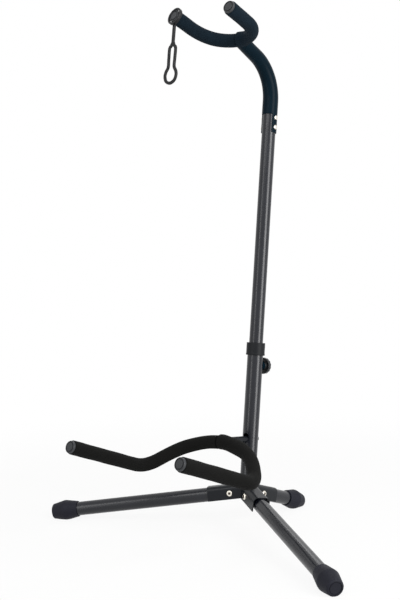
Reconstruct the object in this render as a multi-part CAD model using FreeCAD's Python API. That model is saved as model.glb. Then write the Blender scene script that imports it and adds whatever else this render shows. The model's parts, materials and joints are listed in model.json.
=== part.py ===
import FreeCAD, Part
import math
import os

# Folding guitar stand: three-leg base, telescoping mast, cradle, neck yoke and strap.
# All sizes are in millimetres. Every piece is first built in the mast frame: z runs up the
# mast axis from the level of the leg pivots, -y is the front where the guitar rests, and x is
# sideways. The whole stand is then leaned back and lifted so that its feet stand on z = 0.

V = FreeCAD.Vector

# Stance
pivot_height = 49.6        # leg pivot level above the floor, on the mast axis
mast_lean = 7.4            # degrees that the mast leans to the back
leg_slope = 11.5           # degrees that a leg slopes down from the hub's plane
leg_turns = {"left": 210.0, "right": 330.0, "rear": 90.0}   # degrees around the mast from +x
foot_axis_height = 13.8    # height of the leg axis at the middle of a foot

# Tubes
lower_od = 25.0
lower_wall = 1.2
lower_bottom = -6.0        # bottom end of the lower tube, below the pivots
lower_top = 234.9
upper_od = 22.0
upper_wall = 1.2
upper_bottom = 140.0       # bottom end of the upper tube at the height shown
leg_od = 22.0
leg_wall = 1.2

# Clearances
slide_gap = 0.3            # between pieces that slide or swing past each other
pin_gap = 0.08             # around a pin that something turns on
seat_gap = 0.05            # between pieces that are fixed to each other

# Hub
pivot_radius = 25.8        # mast axis to leg pivot
arm_reach = 61.0           # mast axis to the open end of a hub arm
sheet = 1.5                # thickness of the pressed steel
channel_inside = 24.0      # width between the side walls of an arm
channel_skirt = 9.5        # side wall below the leg axis
channel_corner = 7.8       # outside radius along the top edges of an arm
pivot_d = 6.0
pivot_head_d = 9.6
pivot_head_h = 2.4
pivot_dimple_d = 3.2
pivot_dimple_h = 1.0
washer_od = 9.8            # at most; it also stays on the flat of the side wall
washer_t = 0.65

# Feet
foot_length = 43.0
foot_socket = 31.0         # depth that the leg goes into the foot
foot_mouth_r = 12.5
foot_belly_r = 16.4        # where the two cones of a foot would meet
foot_belly_at = 0.5        # that place, as a share of the foot's length
foot_belly_round = 10.0
foot_tip_r = 11.6          # where the second cone would meet the toe's flat end
foot_tip_round = 2.6

# Height clamp
collar_od = 30.0
collar_height = 20.0
collar_edge = 1.4          # rounding of the collar's rims
collar_lip = 4.5           # part of the collar that stands above the lower tube
clamp_z = 203.0
clamp_screw_d = 6.0
nut_od = 13.0
nut_face = 19.2            # mast axis to the outer face of the welded nut
knob_d = 26.5
knob_t = 9.0
knob_edge = 2.2
knob_gap = 0.5             # between the nut and the knob
knob_sink = 6.0            # depth that the screw is moulded into the knob
plug_flange = 4.0
plug_depth = 14.0
plug_chamfer = 1.0

# Neck tube and yoke
neck_od = 25.0
neck_end_od = 21.6
neck_wall = 1.4
neck_corner_z = 675.0      # where the straight lines of the bend would meet
neck_bend = 65.6
neck_stop = 4.9            # start of the bend down to the top of the upper tube
neck_round = 22.5          # start of the bend down to the end of the full round
neck_shell = 29.2          # half shell behind the upper tube, below the full round
neck_shell_front = 5.6     # how far the half shell's edges reach ahead of the mast axis
neck_rivet_drops = [5.7, 21.1]   # end of the full round down to each rivet
neck_rivet_d = 4.0
neck_rivet_head_d = 7.0
neck_rivet_head_h = 1.9
yoke_ahead = 85.1          # mast axis forward to the bar of the yoke
yoke_above = 29.4          # corner of the neck tube up to that bar
yoke_half = 43.0           # middle of the bar to the corner of an arm
yoke_spread = 9.3          # corner out to the end of an arm, sideways
yoke_arm_reach = 91.1      # bar forward to the end of the right arm
yoke_longer = 4.0          # how much further forward the left arm reaches
yoke_arm_rise = 16.6       # bar up to the ends of the arms, on average
yoke_twist = 2.5           # left end above that average, and right end below it
yoke_bend = 45.5
yoke_sag = 3.0             # how far the left arm dips below a straight line
yoke_sag_at = 0.42         # place of that dip, as a share of the arm from its end
yoke_sag_bend = 150.0
yoke_seam = -2.5           # sideways place where the two sleeves of the yoke meet

# Cradle
cradle_ahead = 13.2        # mast axis forward to where the arch's two slopes would meet
cradle_above = 130.4       # leg pivots up to that point
cradle_half = 110.1        # middle to the corner of an arm, sideways
cradle_corner_reach = 109.7   # arch forward to the corner of an arm
cradle_corner_drop = 92.9     # arch down to that corner
cradle_toe_in = 1.8        # corner in to the end of an arm, sideways
cradle_arm_reach = 157.4   # corner forward to the end of an arm
cradle_arm_rise = 39.4     # corner up to the end of an arm
cradle_arch = 111.3
cradle_bend = 37.8
cradle_roll = 1.5          # degrees that the cradle is turned on its round stem, right arm up
cradle_seam = -6.0         # sideways place where the two sleeves of the cradle meet
stem_d = 10.0
stem_rise = 2.5            # stem's axis above the middle of the cradle's rod
stem_spigot_d = 8.0
stem_spigot_tip = 1.6      # chamfer at the spigot's end
stem_spigot_out = 6.0      # spigot beyond the back of the mast
slot_rise = 4.5            # open slot above the stem in the front of the mast

# Rods, sleeves and caps, shared by the yoke and the cradle
rod_d = 12.0
rod_wall = 1.5
sleeve_od = 20.8
seam_gap = 0.3
cap_d = 18.4
cap_t = 4.0
cap_edge = 1.6
cap_spigot = 12.0

# Strap
strap_wall = 3.0           # thickness of the ring and of the flat strap
strap_ring_w = 5.0
strap_setback = 3.0        # end of the yoke arm to the middle of the ring
strap_stem_w = 5.5
strap_strand_w = 4.8
strap_gap = 7.6            # slot between the two strands
strap_stem_l = 28.0
strap_fork_l = 9.0
strap_strand_l = 32.0
strap_eye_od = 27.0
strap_eye_id = 18.6
strap_eye_lap = 4.0        # how far the strands run into the eye
strap_crotch = 4.0         # start of the fork to the start of the slot
strap_slit = 0.8           # width of the slot where it starts
strap_sway = 8.5           # degrees that the strap hangs ahead of plumb


def mirrored(point):
    """The same point on the other side of the stand."""
    return V(-point.x, point.y, point.z)


# Values that follow
slope = math.radians(leg_slope)
channel_outside = channel_inside + 2 * sheet
channel_top_in = leg_od / 2 + slide_gap
channel_top = channel_top_in + sheet
inner_corner = channel_corner - sheet
washer_r = min(washer_od / 2, channel_top_in - inner_corner)
rod_r = rod_d / 2
sleeve_r = sleeve_od / 2
lower_in_r = lower_od / 2 - lower_wall
upper_in_r = upper_od / 2 - upper_wall
neck_lean = math.atan2(yoke_ahead, yoke_above)
neck_trim = neck_bend * math.tan(neck_lean / 2)
bend_z = neck_corner_z - neck_trim
upper_top = bend_z - neck_stop
neck_front_cut = bend_z - neck_round
neck_shell_bottom = neck_front_cut - neck_shell
yoke_mid = V(0, -yoke_ahead, neck_corner_z + yoke_above)
yoke_corner = yoke_mid + V(yoke_half, 0, 0)
yoke_end = yoke_corner + V(yoke_spread, -yoke_arm_reach, yoke_arm_rise - yoke_twist)
yoke_left_corner = mirrored(yoke_corner)
yoke_left_end = mirrored(yoke_end) + V(0, -yoke_longer, 2 * yoke_twist)
yoke_left_dip = yoke_left_end + (yoke_left_corner - yoke_left_end) * yoke_sag_at - V(0, 0, yoke_sag)
cradle_peak = V(0, -cradle_ahead, cradle_above)
cradle_corner = cradle_peak + V(cradle_half, -cradle_corner_reach, -cradle_corner_drop)
cradle_end = cradle_corner + V(-cradle_toe_in, -cradle_arm_reach, cradle_arm_rise)
far = 2 * neck_corner_z    # longer than the stand, for cutting away all on one side
to_floor = FreeCAD.Placement(V(0, 0, pivot_height), FreeCAD.Rotation(V(1, 0, 0), -mast_lean))


def tube(outer_r, inner_r, start, direction, length):
    """Round tube from a start point along a direction."""
    outside = Part.makeCylinder(outer_r, length, start, direction)
    inside = Part.makeCylinder(inner_r, length, start, direction)
    return outside.cut(inside)


def bent_path(points, radii):
    """Wire of straight lines through the points with a round bend at each inner point."""
    edges = []
    last = points[0]
    for i in range(1, len(points) - 1):
        back = (points[i - 1] - points[i]).normalize()
        ahead = (points[i + 1] - points[i]).normalize()
        half = back.getAngle(ahead) / 2
        trim = radii[i - 1] / math.tan(half)
        middle = (back + ahead).normalize()
        centre = points[i] + middle * (radii[i - 1] / math.sin(half))
        first = points[i] + back * trim
        second = points[i] + ahead * trim
        edges.append(Part.makeLine(last, first))
        edges.append(Part.Arc(first, centre - middle * radii[i - 1], second).toShape())
        last = second
    edges.append(Part.makeLine(last, points[-1]))
    return Part.Wire(edges)


def along(path, start_r, end_r):
    """Solid round bar along a wire, with its radius running from one end to the other."""
    first = path.OrderedEdges[0]
    final = path.OrderedEdges[-1]
    a = first.valueAt(first.FirstParameter)
    b = final.valueAt(final.LastParameter)
    a_way = first.tangentAt(first.FirstParameter)
    b_way = final.tangentAt(final.LastParameter)
    rings = [Part.Wire(Part.makeCircle(start_r, a, a_way))]
    if abs(end_r - start_r) > 1e-6:
        rings.append(Part.Wire(Part.makeCircle(end_r, b, b_way)))
    solid = path.makePipeShell(rings, True, False)
    return Part.Solid(solid.Shells[0])


def channel(width, top, corner, start, length):
    """Closed block with rounded top edges, along x, that forms one side of a hub arm's skin."""
    w = width / 2
    c = corner * (1 - math.sqrt(0.5))
    left_low = V(start, -w, -channel_skirt)
    left_high = V(start, -w, top - corner)
    left_mid = V(start, -w + c, top - c)
    left_top = V(start, -w + corner, top)
    right_top = V(start, w - corner, top)
    right_mid = V(start, w - c, top - c)
    right_high = V(start, w, top - corner)
    right_low = V(start, w, -channel_skirt)
    outline = [Part.makeLine(left_low, left_high)]
    outline.append(Part.Arc(left_high, left_mid, left_top).toShape())
    outline.append(Part.makeLine(left_top, right_top))
    outline.append(Part.Arc(right_top, right_mid, right_high).toShape())
    outline.append(Part.makeLine(right_high, right_low))
    outline.append(Part.makeLine(right_low, left_low))
    return Part.Face(Part.Wire(outline)).extrude(V(length, 0, 0))


def leg_place(turn):
    """Placement of a leg: origin on its pivot, x along the leg, z up."""
    way = math.radians(turn)
    at = V(pivot_radius * math.cos(way), pivot_radius * math.sin(way), 0)
    spin = FreeCAD.Rotation(V(0, 0, 1), turn).multiply(FreeCAD.Rotation(V(0, 1, 0), leg_slope))
    return FreeCAD.Placement(at, spin)


def leg_length(turn):
    """Length from the pivot to the middle of the foot that brings the foot to the floor."""
    place = to_floor.multiply(leg_place(turn))
    fall = place.Rotation.multVec(V(1, 0, 0)).z
    return (place.Base.z - foot_axis_height) / -fall


def rims(shape, centre, reach):
    """Round edges of a turned shape whose middle lies within a distance of a point."""
    found = []
    for edge in shape.Edges:
        if len(edge.Vertexes) == 1 and (edge.BoundBox.Center - centre).Length < reach:
            found.append(edge)
    return found


def moved(shape, place):
    """Copy of a shape put in a placement."""
    result = shape.copy()
    result.Placement = place.multiply(result.Placement)
    return result


# Hub: one pressed spider, rivets and washers
hub_start = -pivot_radius / math.cos(slope)
hub_length = (arm_reach - pivot_radius) / math.cos(slope) - hub_start
skin = channel(channel_outside, channel_top, channel_corner, hub_start, hub_length)
hollow = channel(channel_inside, channel_top_in, inner_corner, hub_start, 2 * hub_length)
across = V(0, 1, 0)
hub_skins = []
hub_hollows = []
hub_holes = []
rivets = []
washers = []
for turn in leg_turns.values():
    place = leg_place(turn)
    hub_skins.append(moved(skin, place))
    hub_hollows.append(moved(hollow, place))
    hole = Part.makeCylinder(pivot_d / 2 + seat_gap, 2 * channel_outside, V(0, -channel_outside, 0), across)
    hub_holes.append(moved(hole, place))
    half = channel_outside / 2
    shank = Part.makeCylinder(pivot_d / 2, channel_outside, V(0, -half, 0), across)
    rivet = shank
    for side in (-1, 1):
        way = V(0, side, 0)
        head = Part.makeCylinder(pivot_head_d / 2, pivot_head_h, V(0, side * half, 0), way)
        outer = V(0, side * (half + pivot_head_h), 0)
        head = head.makeFillet(pivot_head_h * 0.55, rims(head, outer, pivot_head_h / 2))
        dimple_at = V(0, side * (half + pivot_head_h - pivot_dimple_h), 0)
        head = head.cut(Part.makeCylinder(pivot_dimple_d / 2, 2 * pivot_dimple_h, dimple_at, way))
        rivet = rivet.fuse(head)
        inner = channel_inside / 2
        washer_at = V(0, side * inner, 0)
        washer = tube(washer_r, pivot_d / 2 + seat_gap, washer_at, V(0, -side, 0), washer_t)
        washers.append(moved(washer, place))
    rivets.append(moved(rivet.removeSplitter(), place))
hub = hub_skins[0].multiFuse(hub_skins[1:]).removeSplitter()
hub = hub.cut(hub_hollows[0].multiFuse(hub_hollows[1:]).removeSplitter())
mast_hole = Part.makeCylinder(lower_od / 2 + seat_gap, 2 * arm_reach, V(0, 0, -arm_reach), V(0, 0, 1))
hub = hub.cut(mast_hole)
for hole in hub_holes:
    hub = hub.cut(hole)

# Legs and feet
leg_tubes = {}
leg_feet = {}
floor = Part.makeBox(2 * far, 2 * far, far, V(-far, -far, -far))
# A leg's rounded end clears the rounded corners inside its channel while it folds.
flank = max(0, leg_od / 2 - channel_inside / 2 + inner_corner)
round_end = channel_top_in - inner_corner + math.sqrt(inner_corner ** 2 - flank ** 2) - slide_gap
for name, turn in leg_turns.items():
    place = to_floor.multiply(leg_place(turn))
    reach = leg_length(turn)
    foot_start = reach - foot_length / 2
    tube_end = foot_start + foot_socket
    leg = tube(leg_od / 2, leg_od / 2 - leg_wall, V(-round_end, 0, 0), V(1, 0, 0), tube_end + round_end)
    keep = Part.makeCylinder(round_end, 2 * leg_od, V(0, -leg_od, 0), across)
    keep = keep.fuse(Part.makeBox(2 * tube_end, 2 * leg_od, 2 * leg_od, V(0, -leg_od, -leg_od)))
    leg = leg.common(keep)
    leg = leg.cut(Part.makeCylinder(pivot_d / 2 + pin_gap, 2 * leg_od, V(0, -leg_od, 0), across))
    leg_tubes[name] = moved(leg, place)

    tip = foot_start + foot_length
    belly = V(foot_start + foot_length * foot_belly_at, 0, foot_belly_r)
    side = [V(foot_start, 0, foot_mouth_r), belly, V(tip, 0, foot_tip_r), V(tip, 0, 0)]
    socket_r = leg_od / 2 + seat_gap
    outline = bent_path(side, [foot_belly_round, foot_tip_round]).OrderedEdges
    outline.append(Part.makeLine(V(tip, 0, 0), V(tube_end, 0, 0)))
    outline.append(Part.makeLine(V(tube_end, 0, 0), V(tube_end, 0, socket_r)))
    outline.append(Part.makeLine(V(tube_end, 0, socket_r), V(foot_start, 0, socket_r)))
    outline.append(Part.makeLine(V(foot_start, 0, socket_r), V(foot_start, 0, foot_mouth_r)))
    foot = Part.Face(Part.Wire(outline)).revolve(V(0, 0, 0), V(1, 0, 0), 360)
    leg_feet[name] = moved(foot, place).cut(floor)

# Cradle path, needed for the height of its stem
cradle_points = [mirrored(cradle_end), mirrored(cradle_corner), cradle_peak, cradle_corner, cradle_end]
cradle_radii = [cradle_bend, cradle_arch, cradle_bend]
arch_way = (cradle_corner - cradle_peak).normalize()
arch_half = arch_way.getAngle((mirrored(cradle_corner) - cradle_peak).normalize()) / 2
arch_drop = cradle_arch / math.sin(arch_half) - cradle_arch
arch_mid = V(0, arch_way.y, arch_way.z).normalize() * arch_drop + cradle_peak
stem_z = arch_mid.z + stem_rise

# Lower tube, collar, nut, screw and knob
up = V(0, 0, 1)
back = V(0, 1, 0)
lower = tube(lower_od / 2, lower_in_r, V(0, 0, lower_bottom), up, lower_top - lower_bottom)
screw_hole_r = clamp_screw_d / 2 + slide_gap
lower = lower.cut(Part.makeCylinder(screw_hole_r, lower_od, V(0, 0, clamp_z), back))
slot_r = stem_d / 2 + slide_gap
slot = Part.makeCylinder(slot_r, lower_od, V(0, 0, stem_z), V(0, -1, 0))
slot = slot.fuse(Part.makeCylinder(slot_r, lower_od, V(0, 0, stem_z + slot_rise), V(0, -1, 0)))
slot = slot.fuse(Part.makeBox(2 * slot_r, lower_od, slot_rise, V(-slot_r, -lower_od, stem_z)))
lower = lower.cut(slot.removeSplitter())
spigot_hole_r = stem_spigot_d / 2 + slide_gap
lower = lower.cut(Part.makeCylinder(spigot_hole_r, lower_od, V(0, 0, stem_z), back))

collar_top = lower_top + collar_lip
collar_base = V(0, 0, collar_top - collar_height)
collar = Part.makeCylinder(collar_od / 2, collar_height, collar_base, up)
collar = collar.makeFillet(collar_edge, rims(collar, V(0, 0, collar_top), collar_height * 2))
collar = collar.cut(Part.makeCylinder(upper_od / 2 + slide_gap, collar_height, collar_base, up))
collar_seat = lower_top + seat_gap
collar = collar.cut(Part.makeCylinder(lower_od / 2 + seat_gap, collar_seat, V(0, 0, 0), up))

nut = Part.makeCylinder(nut_od / 2, nut_face, V(0, 0, clamp_z), back)
nut = nut.cut(Part.makeCylinder(lower_od / 2 + seat_gap, 4 * nut_od, V(0, 0, clamp_z - 2 * nut_od), up))
nut = nut.cut(Part.makeCylinder(clamp_screw_d / 2 + pin_gap, 2 * nut_face, V(0, 0, clamp_z), back))

screw_tip = upper_od / 2 + slide_gap
knob_face = nut_face + knob_gap
screw_length = knob_face + knob_sink - screw_tip
screw = Part.makeCylinder(clamp_screw_d / 2, screw_length, V(0, screw_tip, clamp_z), back)
knob = Part.makeCylinder(knob_d / 2, knob_t, V(0, knob_face, clamp_z), back)
knob_at = V(0, knob_face, clamp_z)
knob = knob.makeFillet(knob_edge, rims(knob, knob_at, knob_t * 2))
knob = knob.cut(Part.makeCylinder(clamp_screw_d / 2 + seat_gap, knob_sink + seat_gap, knob_at, back))

# Upper tube with its guide plug
sideways = V(1, 0, 0)
upper = tube(upper_od / 2, upper_in_r, V(0, 0, upper_bottom), up, upper_top - upper_bottom)
plug = Part.makeCylinder(upper_od / 2, plug_flange, V(0, 0, upper_bottom - plug_flange), up)
plug = plug.makeChamfer(plug_chamfer, rims(plug, V(0, 0, upper_bottom - plug_flange), plug_flange / 2))
plug = plug.fuse(Part.makeCylinder(upper_in_r - seat_gap, plug_depth, V(0, 0, upper_bottom), up))
plug = plug.removeSplitter()

# Yoke and cradle rods, with sleeves and caps


def shortened(points, trim):
    """The same points with both end points drawn back along the last straight."""
    first = points[0] + (points[1] - points[0]).normalize() * trim
    final = points[-1] + (points[-2] - points[-1]).normalize() * trim
    return [first] + points[1:-1] + [final]


def half_space(seam, side):
    """Large block on one side of the seam between two sleeves."""
    edge = seam + side * seam_gap / 2
    start = edge if side > 0 else edge - far
    return Part.makeBox(far, 2 * far, 2 * far, V(start, -far, -far))


def padded_rod(points, radii, seam, notch):
    """Bent tube with a foam sleeve on each half and a plug cap in each end."""
    inner_points = shortened(points, cap_t)
    path = bent_path(inner_points, radii)
    rod = along(path, rod_r, rod_r).cut(along(path, rod_r - rod_wall, rod_r - rod_wall))
    foam = along(path, sleeve_r, sleeve_r).cut(along(path, rod_r + seat_gap, rod_r + seat_gap))
    foam = foam.cut(notch)
    sleeves = {"left": foam.common(half_space(seam, -1)), "right": foam.common(half_space(seam, 1))}
    caps = {}
    for name, end, before in (("left", points[0], points[1]), ("right", points[-1], points[-2])):
        way = (end - before).normalize()
        disc = Part.makeCylinder(cap_d / 2, cap_t, end - way * cap_t, way)
        disc = disc.makeFillet(cap_edge, rims(disc, end, cap_t / 2))
        spigot_r = rod_r - rod_wall - seat_gap
        spigot_at = end - way * (cap_t + cap_spigot)
        spigot = Part.makeCylinder(spigot_r, cap_spigot + cap_t / 2, spigot_at, way)
        caps[name] = disc.fuse(spigot).removeSplitter()
    return rod, sleeves, caps


# Neck tube: straight half shell, full round, then a bend that tapers to the yoke.
neck_start = V(0, 0, neck_shell_bottom)
neck_corner = V(0, 0, neck_corner_z)
neck_way = (yoke_mid - neck_corner).normalize()
bend_start = V(0, 0, bend_z)
bend_forward = neck_bend * (1 - math.cos(neck_lean / 2))
bend_mid = V(0, -bend_forward, bend_z + neck_bend * math.sin(neck_lean / 2))
bend_end = neck_corner + neck_way * neck_trim
bend_arc = Part.Arc(bend_start, bend_mid, bend_end).toShape()
bend_path = Part.Wire([bend_arc, Part.makeLine(bend_end, yoke_mid)])


def neck_solid(grow):
    """Neck tube as a solid bar, made larger or smaller all round by one amount."""
    straight = Part.makeCylinder(neck_od / 2 + grow, bend_z - neck_shell_bottom, neck_start, up)
    return straight.fuse(along(bend_path, neck_od / 2 + grow, neck_end_od / 2 + grow)).removeSplitter()


yoke_points = [yoke_left_end, yoke_left_dip, yoke_left_corner, yoke_corner, yoke_end]
yoke_radii = [yoke_sag_bend, yoke_bend, yoke_bend]
yoke_rod, yoke_sleeves, yoke_caps = padded_rod(yoke_points, yoke_radii, yoke_seam, neck_solid(slide_gap))
yoke_path = bent_path(shortened(yoke_points, cap_t), yoke_radii)
neck = neck_solid(0).cut(neck_solid(-neck_wall))
neck = neck.cut(along(yoke_path, rod_r + seat_gap, rod_r + seat_gap))
front_at = V(-neck_od, -neck_od - neck_shell_front, 0)
neck = neck.cut(Part.makeBox(2 * neck_od, neck_od, neck_front_cut, front_at))
neck_rivets = []
for fall in neck_rivet_drops:
    z = neck_front_cut - fall
    rivet_hole = Part.makeCylinder(neck_rivet_d / 2 + seat_gap, 2 * neck_od, V(-neck_od, 0, z), sideways)
    neck = neck.cut(rivet_hole)
    upper = upper.cut(rivet_hole)
    rivet = Part.makeCylinder(neck_rivet_d / 2, neck_od, V(-neck_od / 2, 0, z), sideways)
    for side in (-1, 1):
        way = V(side, 0, 0)
        head_at = V(side * neck_od / 2, 0, z)
        head = Part.makeCylinder(neck_rivet_head_d / 2, neck_rivet_head_h, head_at, way)
        outer = head_at + way * neck_rivet_head_h
        rivet = rivet.fuse(head.makeFillet(neck_rivet_head_h * 0.6, rims(head, outer, neck_rivet_head_h / 2)))
    neck_rivets.append(rivet.removeSplitter())

# Cradle: the stem passes the slot, crosses the mast and its spigot leaves at the back.
stem_start = V(0, arch_mid.y, stem_z)
spigot_end = lower_od / 2 + stem_spigot_out
stem = Part.makeCylinder(stem_d / 2, lower_in_r - stem_start.y, stem_start, back)
inside_mast = Part.makeCylinder(lower_in_r - slide_gap, 2 * stem_z, V(0, 0, 0), up)
before_mast = Part.makeBox(2 * stem_d, -stem_start.y, 2 * stem_z, V(-stem_d, stem_start.y, 0))
stem = stem.common(inside_mast.fuse(before_mast))
spigot = Part.makeCylinder(stem_spigot_d / 2, spigot_end, V(0, 0, stem_z), back)
spigot = spigot.makeChamfer(stem_spigot_tip, rims(spigot, V(0, spigot_end, stem_z), stem_spigot_out))
stem = stem.fuse(spigot).removeSplitter()
stem_notch = Part.makeCylinder(stem_d / 2 + slide_gap, 2 * sleeve_od, stem_start, back)
cradle_rod, cradle_sleeves, cradle_caps = padded_rod(cradle_points, cradle_radii, cradle_seam, stem_notch)
cradle_path = bent_path(shortened(cradle_points, cap_t), cradle_radii)
stem = stem.cut(along(cradle_path, rod_r + seat_gap, rod_r + seat_gap))
turned = FreeCAD.Placement(V(0, 0, 0), FreeCAD.Rotation(V(0, 1, 0), -cradle_roll), V(0, 0, stem_z))

# Strap: a ring on the left yoke arm, a stem, two strands and an eye
arm_way = (yoke_left_end - yoke_left_dip).normalize()
ring_mid = yoke_left_end - arm_way * strap_setback
ring_in = sleeve_r + slide_gap
ring_start = ring_mid - arm_way * (strap_ring_w / 2)
ring = tube(ring_in + strap_wall, ring_in, ring_start, arm_way, strap_ring_w)
drop = ring_in + strap_wall / 2
strand_mid = (strap_gap + strap_strand_w) / 2
fork_at = -drop - strap_stem_l
strand_at = fork_at - strap_fork_l
eye_at = strand_at - strap_strand_l - strap_eye_od / 2 + strap_eye_lap


def flat(points):
    """Flat piece of the strap from an outline in its own plane, x across and z up."""
    corners = [V(x, -strap_wall / 2, z) for x, z in points]
    return Part.Face(Part.makePolygon(corners + corners[:1])).extrude(V(0, strap_wall, 0))


half_w = strap_stem_w / 2
outer_w = strand_mid + strap_strand_w / 2
inner_w = strap_gap / 2
pieces = [flat([(-half_w, -drop), (half_w, -drop), (half_w, fork_at), (-half_w, fork_at)])]
pieces.append(flat([(-half_w, fork_at), (half_w, fork_at), (outer_w, strand_at), (-outer_w, strand_at)]))
pieces.append(flat([(-outer_w, strand_at), (outer_w, strand_at), (outer_w, eye_at), (-outer_w, eye_at)]))
eye = Part.makeCylinder(strap_eye_od / 2, strap_wall, V(0, -strap_wall / 2, eye_at), back)
hanging = pieces[0].multiFuse(pieces[1:] + [eye])
fork_in = fork_at - strap_crotch
slit_w = strap_slit / 2
slot = flat([(-slit_w, fork_in), (slit_w, fork_in), (inner_w, strand_at), (inner_w, eye_at),
             (-inner_w, eye_at), (-inner_w, strand_at)])
slot = slot.fuse(Part.makeCylinder(strap_eye_id / 2, 2 * strap_wall, V(0, -strap_wall, eye_at), back))
hanging = hanging.cut(slot).removeSplitter()
sway = FreeCAD.Rotation(V(1, 0, 0), mast_lean - strap_sway)
hanging = moved(hanging, FreeCAD.Placement(ring_mid, sway))
bore = Part.makeCylinder(ring_in, 4 * strap_ring_w, ring_mid - arm_way * (2 * strap_ring_w), arm_way)
strap = ring.fuse(hanging.cut(bore)).removeSplitter()

# Put every piece on the floor and write it out
nodes = {
    "hub_spider": hub,
    "leg_pivot_rivets": Part.makeCompound(rivets),
    "leg_pivot_washers": Part.makeCompound(washers),
    "lower_tube": lower,
    "height_collar": collar,
    "clamp_nut": nut,
    "clamp_screw": screw,
    "clamp_knob": knob,
    "upper_tube": upper,
    "upper_guide_plug": plug,
    "neck_tube": neck,
    "neck_rivets": Part.makeCompound(neck_rivets),
    "yoke_rod": yoke_rod,
    "yoke_sleeve_left": yoke_sleeves["left"],
    "yoke_sleeve_right": yoke_sleeves["right"],
    "yoke_cap_left": yoke_caps["left"],
    "yoke_cap_right": yoke_caps["right"],
    "neck_strap": strap,
    "cradle_stem": moved(stem, turned),
    "cradle_rod": moved(cradle_rod, turned),
    "cradle_sleeve_left": moved(cradle_sleeves["left"], turned),
    "cradle_sleeve_right": moved(cradle_sleeves["right"], turned),
    "cradle_cap_left": moved(cradle_caps["left"], turned),
    "cradle_cap_right": moved(cradle_caps["right"], turned),
}
placed = {name: moved(shape, to_floor) for name, shape in nodes.items()}
for name in leg_turns:
    placed["leg_tube_" + name] = leg_tubes[name]
    placed["leg_foot_" + name] = leg_feet[name]

# The origin goes on the floor under the middle of the stand's plan.
whole = FreeCAD.BoundBox()
for shape in placed.values():
    whole.add(shape.optimalBoundingBox(False, False))
to_origin = V(-(whole.XMin + whole.XMax) / 2, -(whole.YMin + whole.YMax) / 2, 0)

os.makedirs("parts", exist_ok=True)
for name, shape in placed.items():
    result = shape.copy()
    result.translate(to_origin)
    result.exportStep("parts/" + name + ".step")
    print(name, "solids", len(result.Solids), "valid", result.isValid(), "volume", round(result.Volume, 1))
print("height", round(whole.ZMax, 1), "origin moved by", to_origin)
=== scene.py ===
# %% [markdown]
# # A folding guitar stand
#
# The stand is steel tube, pressed sheet, foam, rubber and a few moulded plastic pieces. The
# construction is already there as exact solids, one for each piece, and this lesson dresses
# them. What is hard on the real stand keeps its solid and gets a finish. What is soft or
# moulded (foam, feet, strap, knob, collar) gets a surface of its own, because a plain solid has
# none of the soft edges that the eye looks for.

# %% Load the solids
import bmesh
import bpy
import json
import math
import numpy as np
from mathutils import Matrix


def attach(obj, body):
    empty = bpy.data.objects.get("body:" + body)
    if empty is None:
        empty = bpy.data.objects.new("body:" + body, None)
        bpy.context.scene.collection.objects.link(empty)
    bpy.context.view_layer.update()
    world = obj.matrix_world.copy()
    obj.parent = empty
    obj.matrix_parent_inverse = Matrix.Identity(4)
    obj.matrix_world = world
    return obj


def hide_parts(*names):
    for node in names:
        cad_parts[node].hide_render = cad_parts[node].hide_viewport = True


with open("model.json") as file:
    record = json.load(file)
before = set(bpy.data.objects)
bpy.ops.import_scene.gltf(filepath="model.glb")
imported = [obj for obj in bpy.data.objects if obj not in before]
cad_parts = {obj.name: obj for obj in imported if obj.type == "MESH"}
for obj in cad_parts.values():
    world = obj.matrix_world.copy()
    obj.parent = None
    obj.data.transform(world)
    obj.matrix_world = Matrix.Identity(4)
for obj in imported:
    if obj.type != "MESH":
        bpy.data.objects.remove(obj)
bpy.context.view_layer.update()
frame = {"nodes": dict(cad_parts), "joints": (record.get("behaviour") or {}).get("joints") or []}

nodes = frame["nodes"]
joints = {joint["name"]: joint for joint in frame["joints"]}

# %% [markdown]
# ## The mast frame
#
# Nearly everything on the stand lines up with the leaning mast, not with the floor. The joints
# say where the mast is: the three leg pivots lie on a circle around its axis, and the height
# slide runs along it. So the mast's own axes come from the joints, and sizes are then written
# along the mast, from its pivot level up, with the front of the stand at minus y.

# %% Mast axes from the joints
leg_names = ("left", "right", "rear")
pivots = {name: np.array(joints["leg_" + name + "_fold"]["pos_m"]) for name in leg_names}
mast_origin = sum(pivots.values()) / len(pivots)
mast_up = np.array(joints["height_slide"]["axis"])
mast_side = np.array([1.0, 0.0, 0.0])
mast_back = np.cross(mast_up, mast_side)


def on_mast(x, y, z):
    """Point at x sideways, y to the back and z up the mast, in the row frame."""
    return mast_origin + x * mast_side + y * mast_back + z * mast_up


print("mast origin", mast_origin.round(4), "lean", round(math.degrees(math.acos(mast_up[2])), 2))

# %% [markdown]
# ## Camera
#
# The photograph looks a little down at the stand from its front right, with a slight roll. The
# view was matched once to the feet, the hub and the yoke. Here it is written as angles, the
# distance to the hub and the hub's place in a picture 400 wide and 600 high.

# %% Camera
picture_width = 400
picture_height = 600
focal_pixels = 920.0
view_azimuth = math.radians(42.10)
view_pitch = math.radians(3.38)
view_roll = math.radians(-1.40)
hub_depth = 1.4572
hub_pixel = (247.0, 493.65)

ahead = np.array([-math.sin(view_azimuth) * math.cos(view_pitch),
                  math.cos(view_azimuth) * math.cos(view_pitch), -math.sin(view_pitch)])
level_right = np.array([math.cos(view_azimuth), math.sin(view_azimuth), 0.0])
level_up = np.cross(level_right, ahead)
right = math.cos(view_roll) * level_right + math.sin(view_roll) * level_up
above = -math.sin(view_roll) * level_right + math.cos(view_roll) * level_up
across = (hub_pixel[0] - picture_width / 2) / focal_pixels
down = (hub_pixel[1] - picture_height / 2) / focal_pixels
eye = mast_origin - hub_depth * (ahead + across * right - down * above)

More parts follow.
